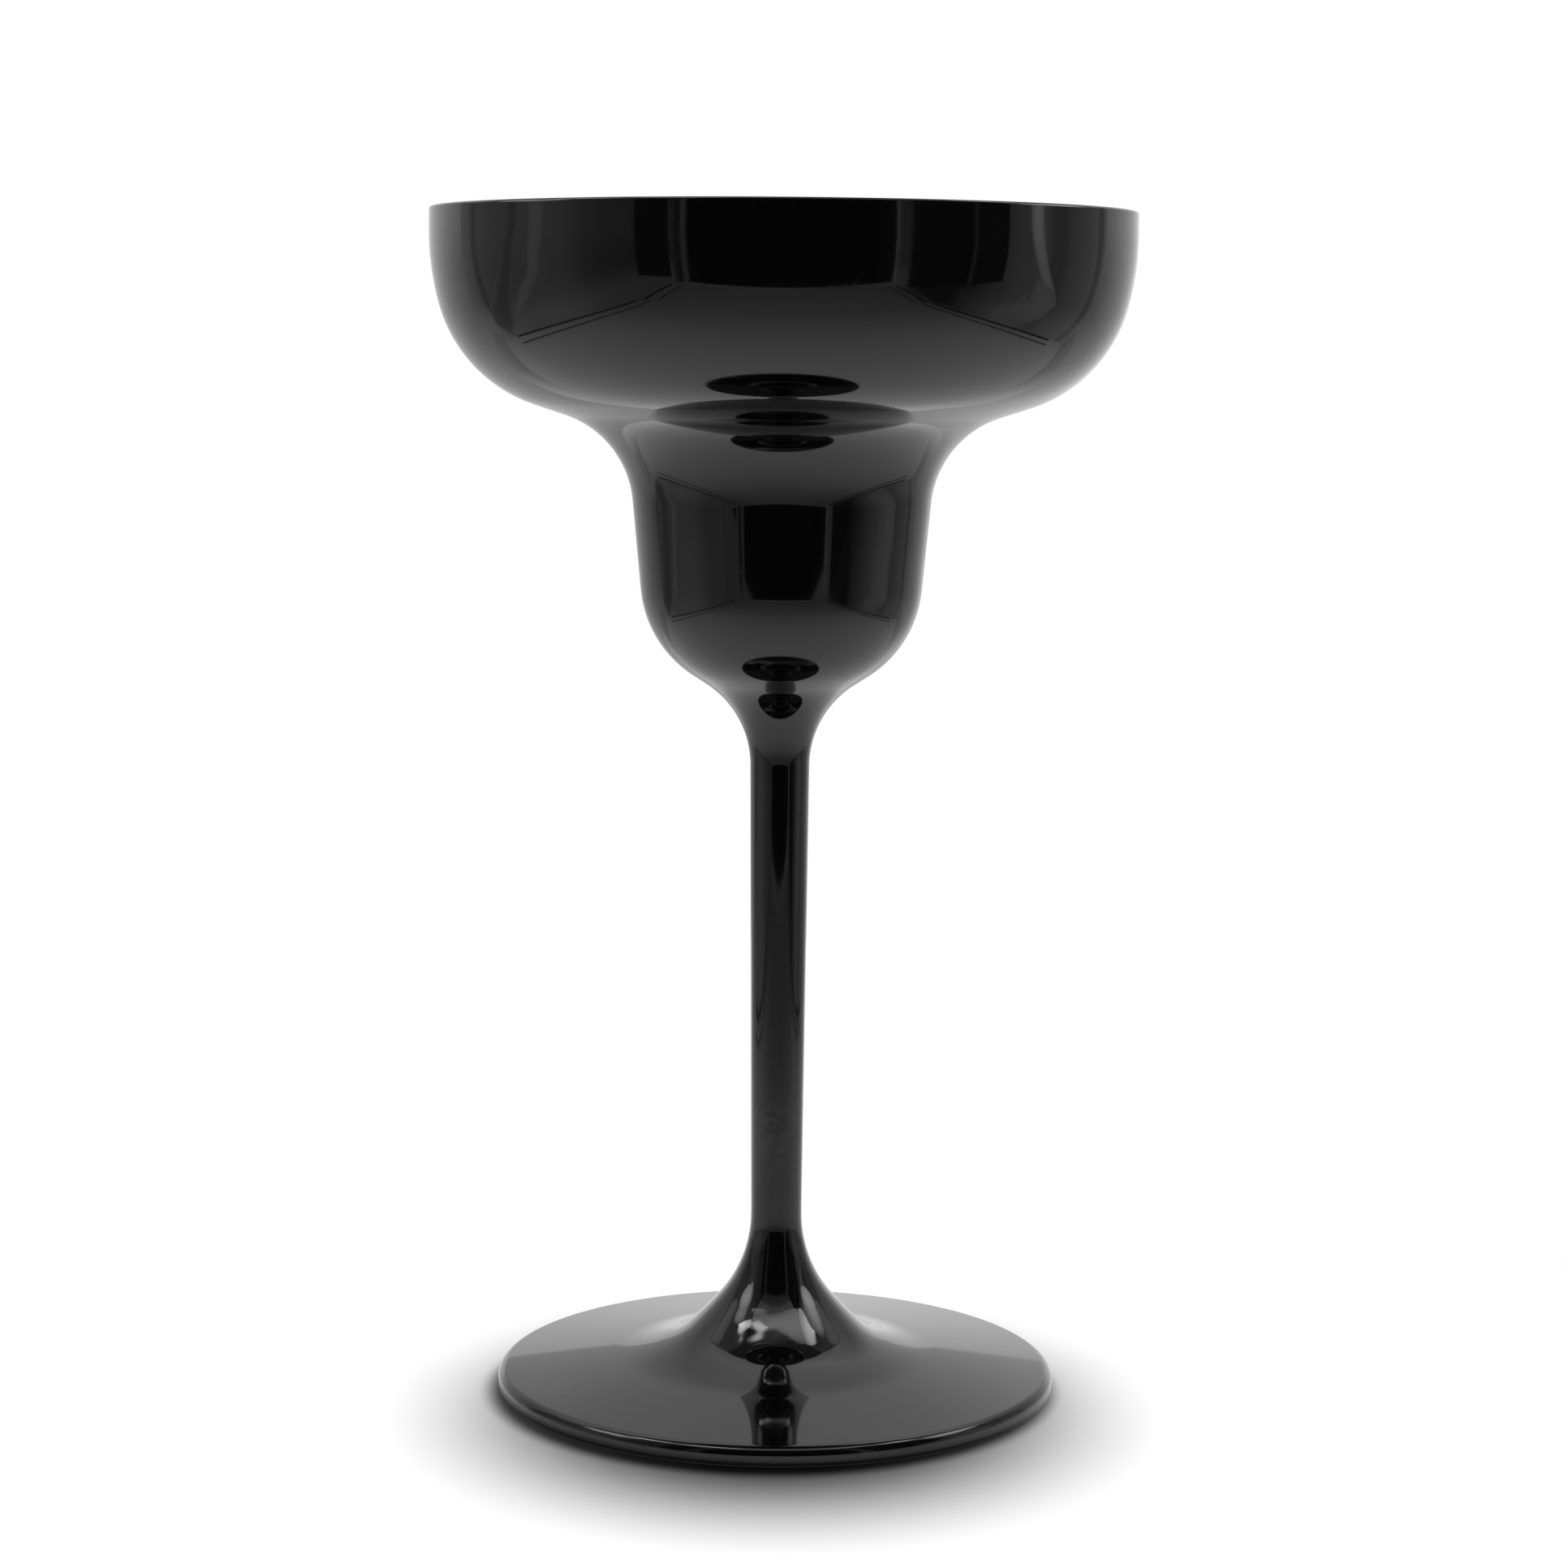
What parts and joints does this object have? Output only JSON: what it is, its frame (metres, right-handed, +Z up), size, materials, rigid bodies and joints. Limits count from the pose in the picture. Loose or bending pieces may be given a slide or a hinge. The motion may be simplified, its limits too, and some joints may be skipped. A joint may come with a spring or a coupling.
{
  "type": "margarita glass",
  "caption": "Stemmed margarita glass in glossy black plastic: a wide coupe stepping down to a rounded well, a slim tapered stem and a flared foot with a hollow underside.",
  "frame": {"origin": "on the axis of the glass, at the surface that its foot stands on", "axes": "+Z up along the axis of the glass, from the foot to the rim; X and Y are alike, because the glass is turned"},
  "size_m": [0.11, 0.11, 0.1875],
  "materials": {
    "black_gloss": "dyed-through black moulded plastic, polished mould gloss, fine handling scratches"
  },
  "bodies": {
    "root": {"bowl": "black_gloss", "stem": "black_gloss", "foot": "black_gloss"}
  },
  "joints": []
}
